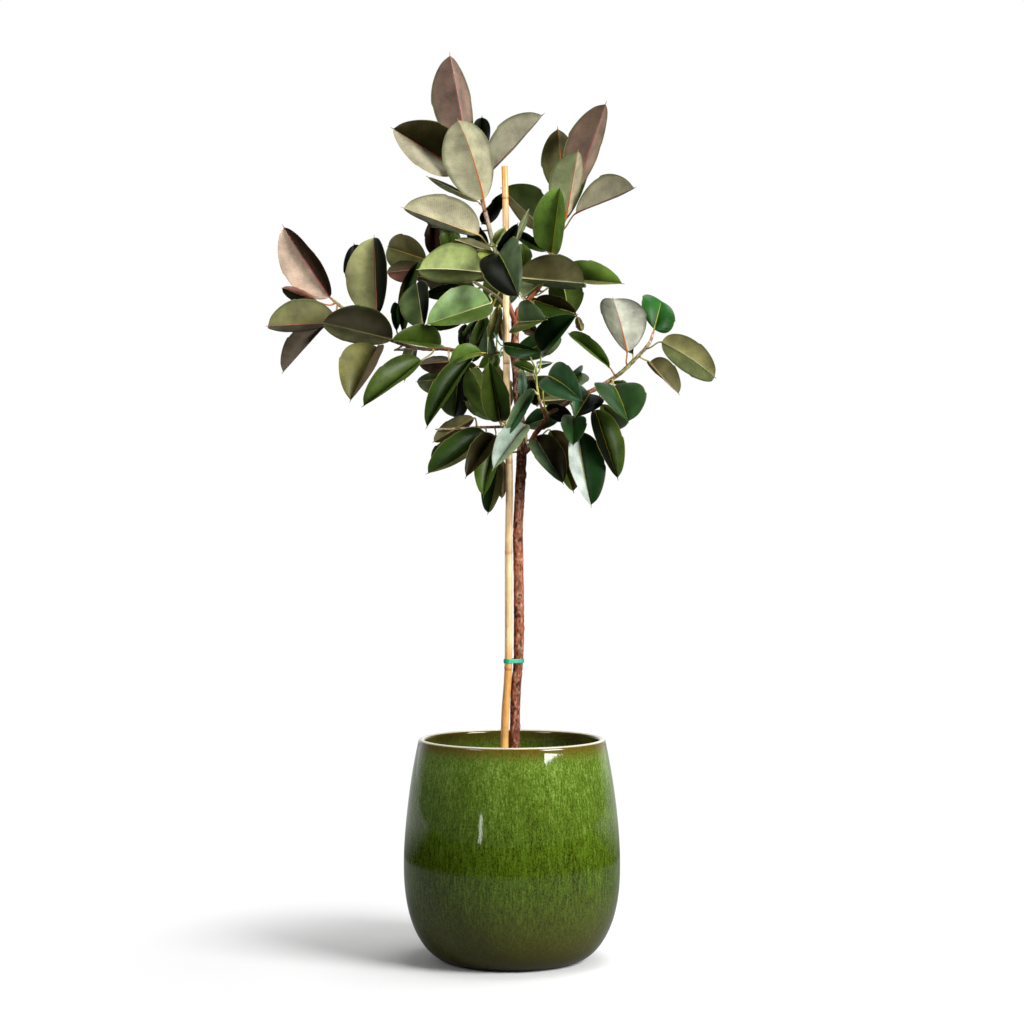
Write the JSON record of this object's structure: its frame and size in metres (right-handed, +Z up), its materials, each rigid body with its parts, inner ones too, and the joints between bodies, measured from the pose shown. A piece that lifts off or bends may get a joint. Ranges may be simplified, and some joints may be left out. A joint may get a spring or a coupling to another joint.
{
  "type": "potted rubber plant",
  "caption": "Tall branching rubber plant with broad waxed leaves, tied to a bamboo cane, in a round-bellied glazed pot with soil.",
  "frame": {"origin": "centre of the pot's flat foot, on the surface that the pot stands on", "axes": "+Z up along the pot's axis and the plant's height, +X towards the plant's right branch as seen from the front, -Y to the front"},
  "size_m": [0.8304, 0.404, 1.6912],
  "materials": {
    "pot_glaze": "mottled green reactive glaze, high gloss, brown where it thins under the lip",
    "potting_soil": "crumbly dark potting soil, matt",
    "trunk_bark": "fissured brown bark with knobs",
    "bamboo": "dry bamboo, satin, ringed nodes",
    "tie_green": "soft plastic band",
    "tie_mint": "plastic-coated wire",
    "green_wood": "young green wood, satin",
    "young_bark": "thin orange-brown bark",
    "branch_bark": "brown bark, matt",
    "leaf_salmon": "waxed leaf, one half salmon and one half dark burgundy",
    "leaf_cream": "matt cream underside, brown-orange midrib",
    "leaf_burgundy": "burgundy underside, red midrib",
    "leaf_sage": "matt sage underside, orange midrib",
    "leaf_olive": "olive-brown underside, satin",
    "leaf_dark_green": "dark green waxed upper side, glossy",
    "leaf_green": "fresh green waxed upper side, glossy"
  },
  "bodies": {
    "root": {"pot": "pot_glaze", "soil": "potting_soil", "trunk": "trunk_bark", "cane": "bamboo", "tie_lower": "tie_green", "tie_upper": "tie_mint", "leader": "green_wood", "right_top_shoot": "young_bark", "left_branch": "young_bark", "back_left_shoot": "green_wood", "low_left_twig": "young_bark", "right_branch": "branch_bark", "centre_shoot": "green_wood", "back_branch": "branch_bark", "leaf_crown_1": "leaf_burgundy", "leaf_crown_2": "leaf_dark_green", "leaf_crown_3": "leaf_sage", "leaf_crown_4": "leaf_sage", "leaf_crown_5": "leaf_sage", "leaf_crown_6": "leaf_sage", "leaf_crown_7": "leaf_dark_green", "leaf_top_right_1": "leaf_olive", "leaf_top_right_2": "leaf_burgundy", "leaf_top_right_3": "leaf_sage", "leaf_top_right_4": "leaf_sage", "leaf_top_right_5": "leaf_green", "leaf_top_right_6": "leaf_olive", "leaf_top_right_7": "leaf_olive", "leaf_top_right_8": "leaf_green", "leaf_back_left_1": "leaf_burgundy", "leaf_back_left_2": "leaf_green", "leaf_left_1": "leaf_salmon", "leaf_left_2": "leaf_olive", "leaf_left_3": "leaf_burgundy", "leaf_left_4": "leaf_olive", "leaf_left_5": "leaf_green", "leaf_left_6": "leaf_olive", "leaf_left_7": "leaf_dark_green", "leaf_left_8": "leaf_green", "leaf_left_9": "leaf_green", "leaf_left_10": "leaf_green", "leaf_low_left_1": "leaf_olive", "leaf_low_left_2": "leaf_dark_green", "leaf_low_left_3": "leaf_dark_green", "leaf_low_left_4": "leaf_dark_green", "leaf_centre_1": "leaf_green", "leaf_centre_2": "leaf_green", "leaf_centre_3": "leaf_dark_green", "leaf_centre_4": "leaf_dark_green", "leaf_right_1": "leaf_dark_green", "leaf_right_2": "leaf_cream", "leaf_right_3": "leaf_green", "leaf_right_4": "leaf_sage", "leaf_right_5": "leaf_olive", "leaf_right_6": "leaf_dark_green", "leaf_right_7": "leaf_dark_green", "leaf_right_8": "leaf_dark_green", "leaf_back_1": "leaf_olive", "leaf_back_2": "leaf_dark_green", "leaf_back_3": "leaf_olive"}
  },
  "joints": []
}
